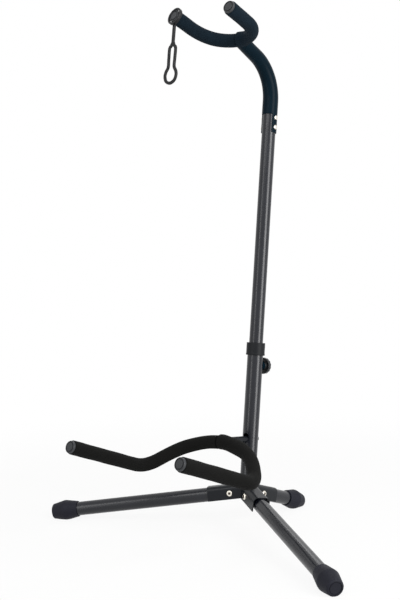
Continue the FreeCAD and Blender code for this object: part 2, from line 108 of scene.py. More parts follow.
camera_data = bpy.data.cameras.new("camera")
camera_data.sensor_width = 36.0
camera_data.lens = focal_pixels * camera_data.sensor_width / picture_height
camera = bpy.data.objects.new("camera", camera_data)
bpy.context.scene.collection.objects.link(camera)
pose = np.eye(4)
pose[:3, 0], pose[:3, 1], pose[:3, 2], pose[:3, 3] = right, above, -ahead, eye
camera.matrix_world = Matrix(pose.tolist())
bpy.context.scene.camera = camera
print("camera at", eye.round(3), "lens", round(camera_data.lens, 1))

# %% [markdown]
# ## Studio
#
# The photograph is a plain product picture on white. A pale floor and a white world give that,
# and large soft lamps draw the long highlights on the tubes: a tall lamp to the right of the
# camera for the bright stripe, a weaker one to the left, one in front and above for the legs, and
# two faint ones overhead and behind so that no side is lost.

# %% One function for shader nodes and one for colours


def colour(hex_code):
    """Linear red, green, blue and alpha of an sRGB hex value."""
    srgb = np.array([int(hex_code[i:i + 2], 16) for i in (1, 3, 5)]) / 255
    linear = np.where(srgb <= 0.04045, srgb / 12.92, ((srgb + 0.055) / 1.055) ** 2.4)
    return (*linear.tolist(), 1.0)


def add(tree, kind, values=None, links=None, **settings):
    """New shader node with its settings, its fixed input values and its links."""
    made = tree.nodes.new(kind)
    for name, value in settings.items():
        setattr(made, name, value)
    for name, value in (values or {}).items():
        made.inputs[name].default_value = value
    for name, source in (links or {}).items():
        tree.links.new(source, made.inputs[name])
    return made


# %% World
world_light = 0.28
world_seen = 1.0
scene = bpy.context.scene
scene.view_settings.view_transform = "Standard"


def any_ray(tree, first, *others):
    """One where a ray is of any of the kinds named, such as Camera or Glossy, and nought elsewhere."""
    rays = add(tree, "ShaderNodeLightPath").outputs
    found = rays["Is " + first + " Ray"]
    for kind in others:
        either = {0: found, 1: rays["Is " + kind + " Ray"]}
        found = add(tree, "ShaderNodeMath", {}, either, operation="MAXIMUM").outputs[0]
    return found


world = bpy.data.worlds.new("studio")
scene.world = world
world.use_nodes = True
tree = world.node_tree
tree.nodes.clear()
seen = any_ray(tree, "Camera", "Glossy", "Transmission")
lit = add(tree, "ShaderNodeBackground", {"Color": colour("#ffffff"), "Strength": world_light})
white = add(tree, "ShaderNodeBackground", {"Color": colour("#ffffff"), "Strength": world_seen})
both = add(tree, "ShaderNodeMixShader", {}, {0: seen, 1: lit.outputs[0], 2: white.outputs[0]})
add(tree, "ShaderNodeOutputWorld", {}, {"Surface": both.outputs[0]})
print("world light", world_light, "world as seen", world_seen)

# %% [markdown]
# The floor is white paper that takes the shadows. Seen by the camera it is nearly clear, so that the
# white world behind it shows without a horizon, and the legs still show when they fold down past
# the level of the floor, as they do on a stand that is held up in the hand.

# %% Floor
floor_half = 6.0
clear_near = 0.9
fade_from = 0.35
fade_to = 1.1
floor_mesh = bpy.data.meshes.new("floor")
corners = [(-floor_half, -floor_half, 0), (floor_half, -floor_half, 0),
           (floor_half, floor_half, 0), (-floor_half, floor_half, 0)]
floor_mesh.from_pydata(corners, [], [(0, 1, 2, 3)])
floor = bpy.data.objects.new("floor", floor_mesh)
scene.collection.objects.link(floor)
paper = bpy.data.materials.new("white_paper")
paper.use_nodes = True
tree = paper.node_tree
tree.nodes.clear()
matt = add(tree, "ShaderNodeBsdfDiffuse", {"Color": colour("#f4f4f2")})
clear = add(tree, "ShaderNodeBsdfTransparent", {"Color": colour("#ffffff")})
seen = any_ray(tree, "Camera", "Glossy")
place = add(tree, "ShaderNodeTexCoord").outputs["Object"]
away = add(tree, "ShaderNodeVectorMath", {}, {0: place}, operation="LENGTH")
fade_range = {"From Min": fade_from, "From Max": fade_to, "To Min": clear_near, "To Max": 1.0}
fade = add(tree, "ShaderNodeMapRange", fade_range, {"Value": away.outputs["Value"]},
           interpolation_type="SMOOTHSTEP")
share = add(tree, "ShaderNodeMath", {}, {0: seen, 1: fade.outputs[0]}, operation="MULTIPLY")
both = add(tree, "ShaderNodeMixShader", {}, {0: share.outputs[0], 1: matt.outputs[0], 2: clear.outputs[0]})
add(tree, "ShaderNodeOutputMaterial", {}, {"Surface": both.outputs[0]})
floor_mesh.materials.append(paper)
print("floor", 2 * floor_half, "m across")

# %% Lamps
aim = np.array([0.0, 0.03, 0.36])


def lamp(name, turn, rise, distance, width, height, power):
    """Soft rectangular lamp. Turn is degrees to the right of the camera's side, rise is height angle."""
    way = view_azimuth + math.radians(turn)
    lift = math.radians(rise)
    toward = np.array([math.sin(way) * math.cos(lift), -math.cos(way) * math.cos(lift), math.sin(lift)])
    data = bpy.data.lights.new(name, "AREA")
    data.shape = "RECTANGLE"
    data.size = width
    data.size_y = height
    data.energy = power
    made = bpy.data.objects.new(name, data)
    scene.collection.objects.link(made)
    spot = aim + distance * toward
    side = np.cross([0.0, 0.0, 1.0], toward)
    side = side / np.linalg.norm(side)
    top = np.cross(toward, side)
    matrix = np.eye(4)
    matrix[:3, 0], matrix[:3, 1], matrix[:3, 2], matrix[:3, 3] = side, top, toward, spot
    made.matrix_world = Matrix(matrix.tolist())
    return made


lamp("stripe_lamp_right", turn=50, rise=12, distance=1.7, width=0.75, height=1.9, power=36)
lamp("stripe_lamp_left", turn=-50, rise=10, distance=1.9, width=0.34, height=1.9, power=8)
lamp("front_lamp", turn=-24, rise=42, distance=1.8, width=0.9, height=0.7, power=9)
lamp("overhead_lamp", turn=10, rise=80, distance=1.7, width=1.2, height=1.0, power=5)
lamp("back_lamp", turn=176, rise=38, distance=1.8, width=0.9, height=0.5, power=4)

# %% [markdown]
# ## Surfaces from arrays
#
# The soft pieces are all the same kind of shape: a ring that travels along a line and changes
# its radius on the way. So one small set of functions does it. A path is an array of points with
# two directions square to it, a profile is a list of places along the path with a radius for
# each, and the surface is every profile point turned through every angle, as one grid.

# %% Paths


def bent_path(points, bends, step=0.001):
    """Points at even steps along straight runs joined by round bends.

    Each bend is a circular arc of the given radius that touches both runs.
    """
    points = [np.asarray(p, float) for p in points]
    runs = [points[0][None]]
    for before, corner, after, radius in zip(points, points[1:], points[2:], bends):
        back = (before - corner) / np.linalg.norm(before - corner)
        on = (after - corner) / np.linalg.norm(after - corner)
        half = math.acos(np.clip(back @ on, -1, 1)) / 2
        middle = (back + on) / np.linalg.norm(back + on)
        centre = corner + middle * radius / math.sin(half)
        start = corner + back * radius / math.tan(half)
        sweep = math.pi - 2 * half
        angle = np.linspace(0, sweep, max(8, int(radius * sweep / step)))[:, None]
        outward = (start - centre) / radius
        runs.append(centre + radius * (np.cos(angle) * outward - np.sin(angle) * back))
    runs.append(points[-1][None])
    rough = np.concatenate(runs)
    length = np.concatenate([[0], np.cumsum(np.linalg.norm(np.diff(rough, axis=0), axis=1))])
    even = np.linspace(0, length[-1], int(length[-1] / step) + 1)
    line = np.stack([np.interp(even, length, rough[:, k]) for k in range(3)], axis=1)
    return even, line


def path_frame(line, reference):
    """Two unit directions square to a path: one near the reference, one square to both."""
    along = np.gradient(line, axis=0)
    along = along / np.linalg.norm(along, axis=1)[:, None]
    first = reference - (along @ reference)[:, None] * along
    first = first / np.linalg.norm(first, axis=1)[:, None]
    return first, np.cross(along, first)


def ring_grid(even, line, reference, place, radius, turns):
    """Grid of points: each profile point (place, radius) turned all round the path.

    Point = path(place) + radius * (cos(turn) * first + sin(turn) * second). The radius may be
    one value for each place, or a whole grid of places by turns.
    """
    first, second = path_frame(line, reference)
    middle, first, second = (np.stack([np.interp(place, even, values[:, k]) for k in range(3)], 1)[:, None]
                             for values in (line, first, second))
    angle = np.linspace(0, 2 * math.pi, turns, endpoint=False)[None, :, None]
    radius = np.asarray(radius)
    if radius.ndim == 1:
        radius = radius[:, None]
    radius = np.broadcast_to(radius, (len(place), turns))[..., None]
    return middle + radius * (np.cos(angle) * first + np.sin(angle) * second)


def grid_faces(rows, columns, close_rows):
    """Four-sided faces of a grid that always closes along its columns, and along its rows if asked."""
    last = rows if close_rows else rows - 1
    i, j = np.meshgrid(np.arange(last), np.arange(columns), indexing="ij")
    i2, j2 = (i + 1) % rows, (j + 1) % columns
    quads = np.stack([i * columns + j, i2 * columns + j, i2 * columns + j2, i * columns + j2], axis=-1)
    return quads.reshape(-1, 4)


def piece(name, grids, body, material, sharp=38):
    """One object from one or more point grids, closed, with smooth shading up to an angle in degrees."""
    points = []
    faces = []
    count = 0
    for grid, close_rows in grids:
        rows, columns = grid.shape[:2]
        faces.append(grid_faces(rows, columns, close_rows) + count)
        points.append(grid.reshape(-1, 3))
        count += rows * columns
    mesh = bpy.data.meshes.new(name)
    mesh.from_pydata(np.concatenate(points).tolist(), [], np.concatenate(faces).tolist())
    work = bmesh.new()
    work.from_mesh(mesh)
    bmesh.ops.remove_doubles(work, verts=work.verts, dist=1e-7)
    bmesh.ops.recalc_face_normals(work, faces=work.faces)
    work.to_mesh(mesh)
    work.free()
    mesh.shade_smooth()
    mesh.set_sharp_from_angle(angle=math.radians(sharp))
    mesh.materials.append(material)
    made = bpy.data.objects.new(name, mesh)
    scene.collection.objects.link(made)
    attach(made, body)
    print(name, "faces", len(mesh.polygons))
    return made


# %% [markdown]
# ## Finishes
#
# Each finish starts from the real material. The tubes and the hub are powder coated steel: a
# sprayed powder that melts to a satin skin with a faint orange peel, about 1.5 mm from bump to
# bump. The neck tube and hub are nearer to black than the mast. The foam is closed cell rubber
# foam, matt, with cells of about half a millimetre, drawn at 0.7 mm so that they show. Feet and
# strap are moulded rubber, the collar, knob and caps are moulded plastic, the rivets are nickel
# plated, and the washers and the screw are zinc plated.

# %% What the finishes share


def blank(name):
    """New material with its shader, its node tree and the piece's own coordinates in metres."""
    made = bpy.data.materials.new(name)
    made.use_nodes = True
    tree = made.node_tree
    return made, tree, tree.nodes["Principled BSDF"], add(tree, "ShaderNodeTexCoord").outputs["Object"]


def clouds(tree, shader, place, base, tint, size, detail):
    """Base colour that drifts between two close shades, in soft clouds of one size in metres."""
    cloud = add(tree, "ShaderNodeTexNoise", {"Scale": 1 / size, "Detail": detail}, {"Vector": place})
    shade = add(tree, "ShaderNodeMix", {6: colour(base), 7: colour(tint)}, {0: cloud.outputs["Fac"]},
                data_type="RGBA")
    tree.links.new(shade.outputs[2], shader.inputs["Base Color"])
    return cloud.outputs["Fac"]


def relief(tree, shader, height, strength, depth):
    """Fine relief: the shader's normal tilts with the slope of a pattern that is so many metres deep."""
    bump = add(tree, "ShaderNodeBump", {"Strength": strength, "Distance": depth}, {"Height": height})
    tree.links.new(bump.outputs[0], shader.inputs["Normal"])


# %% Powder coat
coat_cloud = 0.025
coat_peel = 0.0015
coat_peel_depth = 0.00005
coat_peel_strength = 0.05
coat_gloss_spread = 0.05


def powder_coat(name, base, tint, rough, specular):
    """Satin powder coat: melted powder with orange peel 1.5 mm apart and cloudy gloss 25 mm apart."""
    made, tree, shader, place = blank(name)
    cloud = clouds(tree, shader, place, base, tint, coat_cloud, 3.0)
    gloss_range = {"To Min": rough - coat_gloss_spread, "To Max": rough + coat_gloss_spread}
    gloss = add(tree, "ShaderNodeMapRange", gloss_range, {"Value": cloud})
    tree.links.new(gloss.outputs[0], shader.inputs["Roughness"])
    peel = add(tree, "ShaderNodeTexNoise", {"Scale": 1 / coat_peel, "Detail": 2.0}, {"Vector": place})
    relief(tree, shader, peel.outputs["Fac"], coat_peel_strength, coat_peel_depth)
    shader.inputs["Specular IOR Level"].default_value = specular
    return made


# Mast and legs: bluish charcoal with long, clear stripes of light.
charcoal_coat = powder_coat("charcoal_powder_coat", "#0a0c13", "#0f121a", 0.27, 0.44)
# Hub, cradle stem and bent rods: nearer to black, and the light on them spreads further.
hub_coat = powder_coat("hub_powder_coat", "#0c0f13", "#111419", 0.34, 0.22)
# Neck tube and clamp nut: almost no gloss, so that they show as one dark shape each.
black_coat = powder_coat("black_powder_coat", "#03121b", "#061923", 0.36, 0.05)
print("powder coats", charcoal_coat.name, hub_coat.name, black_coat.name)

# %% Moulded rubber and plastic
mould_cloud = 0.012
mould_strength = 0.5


def moulded(name, base, tint, rough, grain, depth, specular):
    """Moulded skin: two close shades in soft clouds and a fine grain of one size in metres."""
    made, tree, shader, place = blank(name)
    clouds(tree, shader, place, base, tint, mould_cloud, 4.0)
    fine = add(tree, "ShaderNodeTexNoise", {"Scale": 1 / grain, "Detail": 2.0}, {"Vector": place})
    relief(tree, shader, fine.outputs["Fac"], mould_strength, depth)
    shader.inputs["Roughness"].default_value = rough
    shader.inputs["Specular IOR Level"].default_value = specular
    return made


# Rubber: soft sheen on the feet, a little more on the strap, which hands keep smooth.
foot_rubber = moulded("foot_rubber", "#0f1018", "#171823", 0.62, 0.0009, 0.00012, 0.2)
strap_rubber = moulded("strap_rubber", "#0b0c0e", "#111215", 0.4, 0.0008, 0.00006, 0.28)
# Plastic with a fine spark-eroded grain from its mould: dark collar, brighter knob, grey caps.
collar_plastic = moulded("collar_plastic", "#0e1013", "#141619", 0.5, 0.0007, 0.00008, 0.16)
knob_plastic = moulded("knob_plastic", "#15181b", "#1b1e21", 0.45, 0.0007, 0.00008, 0.45)
cap_plastic = moulded("cap_plastic", "#26282b", "#2f3134", 0.5, 0.0008, 0.00008, 0.35)
print("rubber", foot_rubber.name, strap_rubber.name)
print("plastic", collar_plastic.name, knob_plastic.name, cap_plastic.name)

# %% Foam
foam_cell = 0.0007  # coarser than real cells, so that they show
foam_cloud = 0.009
foam_depth = 0.0002
foam_strength = 0.6
foam_rough = 0.9
foam_specular = 0.12


def foam(name, base, tint):
    """Closed cell foam: matt skin with cells drawn 0.7 mm across, in clouds of two close shades."""
    made, tree, shader, place = blank(name)
    clouds(tree, shader, place, base, tint, foam_cloud, 3.0)
    cells = add(tree, "ShaderNodeTexVoronoi", {"Scale": 1 / foam_cell}, {"Vector": place})
    relief(tree, shader, cells.outputs["Distance"], foam_strength, foam_depth)
    shader.inputs["Roughness"].default_value = foam_rough
    shader.inputs["Specular IOR Level"].default_value = foam_specular
    return made


# The cradle's foam is a warm black, and the yoke's a bluish one.
cradle_foam = foam("cradle_rubber_foam", "#0a0a09", "#10100f")
yoke_foam = foam("yoke_rubber_foam", "#09141d", "#0f1d27")
print("foams", cradle_foam.name, yoke_foam.name)

# %% Plated steel
plate_grain = 0.0008
plate_depth = 0.00005
plate_strength = 0.3
plate_gloss_less = 0.08
plate_gloss_more = 0.12
# Brownish dark colour painted into the rivet hollows as painted shade, standing in for the shadow in the
# recess.
hollow_painted_shade = "#4a4038"


def plated(name, base, rough):
    """Plated steel: bright metal with a fine grain 0.8 mm apart, and painted shade: darker where a hollow is
    marked.
    """
    made, tree, shader, place = blank(name)
    grain = add(tree, "ShaderNodeTexNoise", {"Scale": 1 / plate_grain, "Detail": 4.0}, {"Vector": place})
    gloss_range = {"To Min": rough - plate_gloss_less, "To Max": rough + plate_gloss_more}
    gloss = add(tree, "ShaderNodeMapRange", gloss_range, {"Value": grain.outputs["Fac"]})
    tree.links.new(gloss.outputs[0], shader.inputs["Roughness"])
    relief(tree, shader, grain.outputs["Fac"], plate_strength, plate_depth)
    # Where the hollow is marked, the base colour turns to the painted shade colour.
    hollow = add(tree, "ShaderNodeAttribute", attribute_name="hollow").outputs["Fac"]
    shade = add(tree, "ShaderNodeMix", {6: colour(base), 7: colour(hollow_painted_shade)}, {0: hollow},
                data_type="RGBA")
    tree.links.new(shade.outputs[2], shader.inputs["Base Color"])
    shader.inputs["Metallic"].default_value = 1.0
    return made


# Nickel is bright and a little warm. Zinc is greyer and duller.
nickel = plated("nickel_plated_steel", "#e8e3d8", 0.22)
zinc = plated("zinc_plated_steel", "#b4b6b8", 0.34)
print("plated", nickel.name, zinc.name)

# %% Finish of every solid that stays
finishes = {
    charcoal_coat: ["upper_tube", "lower_tube", "leg_tube_left", "leg_tube_right", "leg_tube_rear"],
    hub_coat: ["hub_spider", "cradle_stem", "yoke_rod", "cradle_rod"],
    black_coat: ["neck_tube", "clamp_nut"],
    nickel: ["neck_rivets"],
    zinc: ["leg_pivot_washers", "clamp_screw"],
    knob_plastic: ["upper_guide_plug"],
}
for finish, names in finishes.items():
    for name in names:
        mesh = nodes[name].data
        mesh.materials.clear()
        mesh.materials.append(finish)
print("finished solids", sum(len(names) for names in finishes.values()))

# %% [markdown]
# ## Foam sleeves
#
# Two lengths of foam tube are pushed over each bent rod from its ends and meet at a seam beside
# the middle. Cut foam has soft rims, it stretches a little over the joint with the stem or the
# neck tube, and it bunches up under the cradle's right curve. A profile that turns in at both ends,
# carried along the rod, gives all of that.

# %% Sleeve sizes
rod_radius = 0.0060
sleeve_radius = 0.0104
seam_gap = 0.0011
cap_length = 0.0040
rim_round = 0.0020
joint_swell = 0.0019
joint_reach = 0.011
middle_reach = 0.030
bunch_after = 0.036
bunch_reach = 0.026
dimple = 0.00018
long_wave = 0.011
short_wave = 0.0067
sleeve_turns = 72
sleeve_step = 0.0015
bore_step = 0.0030
rim_steps = np.array([0, 0.02, 0.08, 0.2, 0.4, 0.7, 1.0])


def sleeve(name, node, path, reference, start, end, swell_at, bunch, body, material):
    """Foam tube along a path from start to end, hollow, with rounded rims.

    Radius = sleeve radius, less a quarter circle at each rim, plus a bell-shaped swell at the
    joint and two slow waves that make the foam uneven by a fifth of a millimetre. Where the foam
    bunches up under a curve, the swell stays above, and the bunch is a second bell below it.
    """
    even, line = path
    outer = np.arange(start, end, sleeve_step)
    outer = np.concatenate([start + rim_round * rim_steps,
                            outer[(outer > start + rim_round) & (outer < end - rim_round)],
                            end - rim_round * rim_steps[::-1]])
    inset = np.clip(1 - np.minimum(outer - start, end - outer) / rim_round, 0, 1)
    body_r = sleeve_radius - rim_round * (1 - np.sqrt(1 - inset ** 2))
    angle = np.linspace(0, 2 * math.pi, sleeve_turns, endpoint=False)[None]
    wave = np.sin(outer[:, None] / long_wave + 2 * angle) + np.sin(outer[:, None] / short_wave - 3 * angle)
    grid_r = body_r[:, None] + dimple / 2 * wave * (1 - inset[:, None])
    if swell_at is not None:
        over = joint_swell * np.exp(-((outer - swell_at) / joint_reach) ** 2)[:, None]
        under = bunch * np.exp(-((outer - swell_at - bunch_after) / bunch_reach) ** 2)[:, None]
        over_side = np.clip(np.cos(angle), 0, 1) if bunch > 0 else 1.0
        under_side = np.clip(-np.cos(angle), 0, 1)
        grid_r = grid_r + (over * over_side + under * under_side) * (1 - inset[:, None] ** 2)
    bore = np.linspace(end, start, int((end - start) / bore_step))
    place = np.concatenate([outer, bore])
    radius = np.concatenate([grid_r, np.full((len(bore), sleeve_turns), rod_radius)])
    grid = ring_grid(even, line, reference, place, radius, sleeve_turns)
    made = piece(name, [(grid, True)], body, material)
    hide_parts(node)
    return made


def trimmed(points, cut):
    """The same corner points with both ends drawn back along their runs."""
    first = points[0] + (points[1] - points[0]) / np.linalg.norm(points[1] - points[0]) * cut
    final = points[-1] + (points[-2] - points[-1]) / np.linalg.norm(points[-2] - points[-1]) * cut
    return [first] + points[1:-1] + [final]


def sleeves(kind, corners, bends, seam_x, bunch, body, material):
    """Both foam sleeves of a bent rod, left and right of the seam."""
    path = bent_path(trimmed(corners, cap_length), bends)
    even, line = path
    near = np.abs(line[:, 0]) < middle_reach
    seam = np.interp(seam_x, line[near, 0], even[near])
    middle = np.interp(0.0, line[near, 0], even[near])
    left_end = seam - seam_gap / 2
    right_start = seam + seam_gap / 2
    sleeve(kind + "_foam_left", kind + "_sleeve_left", path, mast_up, 0.0, left_end, None, 0.0, body,
           material)
    sleeve(kind + "_foam_right", kind + "_sleeve_right", path, mast_up, right_start, even[-1], middle, bunch,
           body, material)


# %% Yoke and cradle foam
yoke_corner = np.array([0.0430, -0.0851, 0.7044])
yoke_right_end = np.array([0.0523, -0.1762, 0.7185])
yoke_left_end = np.array([-0.0523, -0.1802, 0.7235])
yoke_bend = 0.0455
yoke_sag = 0.0030
yoke_sag_at = 0.42
yoke_sag_bend = 0.150
yoke_seam = -0.0025
cradle_peak = np.array([0.0, -0.0132, 0.1304])
cradle_corner = np.array([0.1101, -0.1229, 0.0375])
cradle_end = np.array([0.1083, -0.2803, 0.0769])
cradle_arch = 0.1113
cradle_bend = 0.0378
cradle_seam = -0.0060
cradle_bunch = 0.0026
cradle_roll = math.radians(1.5)
stem_height = 0.0865
mirror = np.array([-1.0, 1.0, 1.0])


def on_cradle(x, y, z):
    """Point of the cradle in the row frame: turned about the stem so that the right arm goes up."""
    lift = z - stem_height
    c, s = math.cos(cradle_roll), math.sin(cradle_roll)
    return on_mast(c * x - s * lift, y, stem_height + s * x + c * lift)


yoke_left_corner = mirror * yoke_corner
yoke_left_dip = yoke_left_end + yoke_sag_at * (yoke_left_corner - yoke_left_end) - [0.0, 0.0, yoke_sag]
yoke_points = [yoke_left_end, yoke_left_dip, yoke_left_corner, yoke_corner, yoke_right_end]
cradle_points = [mirror * cradle_end, mirror * cradle_corner, cradle_peak, cradle_corner, cradle_end]
yoke_line = [on_mast(*point) for point in yoke_points]
cradle_line = [on_cradle(*point) for point in cradle_points]
sleeves("yoke", yoke_line, [yoke_sag_bend, yoke_bend, yoke_bend], yoke_seam, 0.0, "upper", yoke_foam)
sleeves("cradle", cradle_line, [cradle_bend, cradle_arch, cradle_bend], cradle_seam, cradle_bunch, "cradle",
        cradle_foam)

# %% [markdown]
# ## Rubber feet
#
# Each foot is a moulded rubber boot over the end of the leg. It swells from a thin mouth to a
# belly and draws in to a flat toe, and the weight of the stand has worn it flat where it meets
# the floor. A profile turned around the leg's axis gives the boot, and the floor cuts it off.

# %% Feet
leg_slope = math.radians(11.5)
foot_axis_height = 0.0138
foot_length = 0.043
foot_socket = 0.031
socket_radius = 0.01105
foot_turns = 64
# Place from the mouth, radius, and nought for depth: mouth, belly, edge of the toe, flat inside that edge.
foot_shape = [(0.0, 0.0125, 0.0), (0.5 * foot_length, 0.0164, 0.0), (foot_length, 0.0116, 0.0),
              (foot_length, 0.0091, 0.0)]
foot_bends = [0.0100, 0.0026]
# A groove runs round the toe, and the disc inside it is set back a little.
toe_depth = 0.0010
toe_step = 0.0004
toe_shape = [(foot_length - toe_depth, 0.0087), (foot_length - toe_depth, 0.0080),
             (foot_length - toe_step, 0.0076), (foot_length - toe_step, 0.0)]


def foot(name):
    """Rubber boot: two cones with a rounded belly and toe turned round the leg, cut off at the floor."""
    pivot = pivots[name]
    outward = (pivot - mast_origin) / np.linalg.norm(pivot - mast_origin)
    way = math.cos(leg_slope) * outward - math.sin(leg_slope) * mast_up
    reach = (pivot[2] - foot_axis_height) / -way[2]
    mouth = reach - foot_length / 2
    even = np.linspace(0, reach + foot_length, 400)
    line = pivot + even[:, None] * way
    outer = bent_path(foot_shape, foot_bends, step=0.0007)[1]
    toe_place, toe_radius = np.array(toe_shape).T
    place = np.concatenate([[foot_socket, foot_socket, 0.0], outer[:, 0], toe_place]) + mouth
    profile = np.concatenate([[0.0, socket_radius, socket_radius], outer[:, 1], toe_radius])
    grid = ring_grid(even, line, np.array([0.0, 0.0, 1.0]), place, profile, foot_turns)
    grid[..., 2] = np.maximum(grid[..., 2], 0.0)
    made = piece("rubber_foot_" + name, [(grid, False)], "leg_" + name, foot_rubber)
    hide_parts("leg_foot_" + name)
    return made


for name in leg_names:
    foot(name)

# %% [markdown]
# ## Height collar and clamp knob
#
# The collar is a plain plastic ring pushed over the lower tube, with a slightly larger bead at
# its lower rim. The knob behind the mast has a dished inner face, a rounded outer face and a
# scalloped rim for the fingers. Both are turned shapes.

# %% Collar
collar_bottom = 0.2194
collar_top = 0.2394
collar_seat = 0.23495
collar_radius = 0.0147
collar_bead = 0.0150
bead_top = collar_bottom + 0.0030
bead_slope = 0.0006
collar_soft = 0.0009
upper_bore = 0.0113
lower_bore = 0.01255


def turned(name, start, way, reference, profile, body, material, turns=72, lobes=None, sharp=38):
    """Closed shape turned around a straight line from a list of (place, radius) points."""
    place, radius = np.array(profile).T
    even = np.array([place.min() - 0.001, place.max() + 0.001])
    line = start + even[:, None] * way
    radius = np.repeat(radius[:, None], turns, axis=1)
    if lobes is not None:
        radius = lobes(radius)
    grid = ring_grid(even, line, reference, place, radius, turns)
    return piece(name, [(grid, True)], body, material, sharp)


def rounded(points, corner, count=5):
    """Closed outline with every corner replaced by a short curve of the given size."""
    points = np.array(points, float)
    before = np.roll(points, 1, axis=0)
    after = np.roll(points, -1, axis=0)
    limit = np.minimum(np.linalg.norm(before - points, axis=1), np.linalg.norm(after - points, axis=1)) * 0.45
    cut = np.minimum(corner, limit)[:, None]
    start = points + (before - points) / np.linalg.norm(before - points, axis=1)[:, None] * cut
    end = points + (after - points) / np.linalg.norm(after - points, axis=1)[:, None] * cut
    t = np.linspace(0, 1, count)[None, :, None]
    curve = (1 - t) ** 2 * start[:, None] + 2 * t * (1 - t) * points[:, None] + t ** 2 * end[:, None]
    return curve.reshape(-1, 2)


collar_outline = [(collar_bottom, lower_bore), (collar_bottom, collar_bead), (bead_top, collar_bead),
                  (bead_top + bead_slope, collar_radius), (collar_top, collar_radius),
                  (collar_top, upper_bore), (collar_seat, upper_bore), (collar_seat, lower_bore)]
collar = turned("plastic_collar", mast_origin, mast_up, mast_side, rounded(collar_outline, collar_soft),
                "base", collar_plastic)
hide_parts("height_collar")

# %% Knob
clamp_height = 0.2030
knob_face = 0.0197
knob_depth = 0.0090
knob_radius = 0.01325
screw_radius = 0.0030
scallops = 14
scallop_depth = 0.0006
knob_turns = 168
knob_soft = 0.0012
bore_end = knob_depth * 0.66
rim_inside = 0.0111
# Place from the inner face and radius: bore, boss, dish, rim, outer face, and back to the bore's end.
knob_outline = [(bore_end, screw_radius), (0.0, screw_radius), (0.0, 0.0062), (0.0026, 0.0068),
                (0.0026, 0.0102), (0.0006, rim_inside), (0.0006, knob_radius), (0.0064, knob_radius),
                (knob_depth - 0.0004, 0.0098), (knob_depth, 0.0060), (knob_depth, 0.0), (bore_end, 0.0)]


def scalloped(radius):
    """Finger grooves: the rim's radius dips in a cosine, more the nearer it is to full size."""
    angle = np.linspace(0, 2 * math.pi, radius.shape[1], endpoint=False)[None]
    rim = np.clip((radius - rim_inside) / (knob_radius - rim_inside), 0, 1)
    return radius - rim * scallop_depth * (0.5 - 0.5 * np.cos(scallops * angle))


knob = turned("clamp_knob_grip", on_mast(0, knob_face, clamp_height), mast_back, mast_up,
              rounded(knob_outline, knob_soft), "clamp", knob_plastic,
              turns=knob_turns, lobes=scalloped)
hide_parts("clamp_knob")

# %% [markdown]
# ## End caps
#
# A plastic plug closes each end of the padded rods. Its face is slightly dished, and a groove runs
# round it inside a thin flange, which gives the pale disc with a dark ring that the picture shows.

# %% Caps
cap_radius = 0.0092
plug_radius = 0.0044
plug_length = 0.016
cap_turns = 48
cap_soft = 0.0004
# Place from the face and radius: dished face, groove, flange, rim, and the plug inside the rod.
cap_outline = [(0.0005, 0.0), (0.0002, 0.0060), (0.0018, 0.0063), (0.0018, 0.0074), (0.0003, 0.0078),
               (0.0006, 0.0087), (0.0016, cap_radius), (cap_length, cap_radius), (cap_length, plug_radius),
               (plug_length, plug_radius), (plug_length, 0.0)]
for kind, line, body in (("yoke", yoke_line, "upper"), ("cradle", cradle_line, "cradle")):
    for side, end, before in (("left", line[0], line[1]), ("right", line[-1], line[-2])):
        inward = (before - end) / np.linalg.norm(before - end)
        cap = turned("plastic_cap_" + kind + "_" + side, end, inward, mast_up,
                     rounded(cap_outline, cap_soft), body, cap_plastic, turns=cap_turns)
        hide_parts(kind + "_cap_" + side)

# %% [markdown]
# ## Leg pivot rivets
#
# Each leg turns on a hollow-headed steel rivet. In the picture a head is a bright ring around a
# dark hollow, so the hollow is marked on the mesh and the plating is painted dark there as painted
# shade. One outline from head to head, turned around the pivot, makes a whole rivet.

# %% Rivets
hub_half_width = 0.0135
head_height = 0.0024
head_radius = 0.0048
shank_radius = 0.0030
hollow_radius = 0.0019
hollow_depth = 0.0012
head_side = 0.0014
head_flat = head_radius * 0.8
rivet_soft = 0.0005
rivet_turns = 40
head_top = hub_half_width + head_height
hollow_floor = head_top - hollow_depth
half_rivet = [(hollow_floor, 0.0), (hollow_floor, hollow_radius * 0.8), (head_top, hollow_radius),
              (head_top, head_flat), (head_top - head_side, head_radius), (hub_half_width, head_radius),
              (hub_half_width, shank_radius)]
other_half = [(-place, radius) for place, radius in half_rivet]
place, radius = rounded(other_half + half_rivet[::-1], rivet_soft).T
even = np.array([-0.02, 0.02])
pins = {name: np.array(joints["leg_" + name + "_fold"]["axis"]) for name in leg_names}
rivet_grids = []
for name in leg_names:
    line = pivots[name] + even[:, None] * pins[name]
    rivet_grids.append((ring_grid(even, line, mast_up, place, radius, rivet_turns), True))
rivets = piece("nickel_rivets", rivet_grids, "base", nickel)
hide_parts("leg_pivot_rivets")

# %% Hollows of the rivets, marked for painted shade
# Painted shade in the rivet hollows: points close to a pivot axis, at a head, get 1 in the attribute hollow.
hollow_shade_reach = hollow_radius * 1.05
head_reach = head_top + 0.001
spots = np.empty(3 * len(rivets.data.vertices))
rivets.data.vertices.foreach_get("co", spots)
spots = spots.reshape(-1, 3)
nearest = np.full(len(spots), np.inf)
for name in leg_names:
    offset = spots - pivots[name]
    lift = offset @ pins[name]
    beside = np.linalg.norm(offset - lift[:, None] * pins[name], axis=1)
    nearest = np.where(np.abs(lift) < head_reach, np.minimum(nearest, beside), nearest)
marks = rivets.data.attributes.new("hollow", "FLOAT", "POINT")
marks.data.foreach_set("value", (nearest < hollow_shade_reach).astype(np.float32))
print("shade_painted points", int((nearest < hollow_shade_reach).sum()))

# %% [markdown]
# ## Neck strap
#
# The strap is one rubber moulding: a ring that slips over the arm of the yoke, a stem, and a long
# loop that ends in an eye. The guitarist draws the eye over the other arm. Each stretch is a bar
# with a softly rounded, slightly crowned section, carried along its own line.

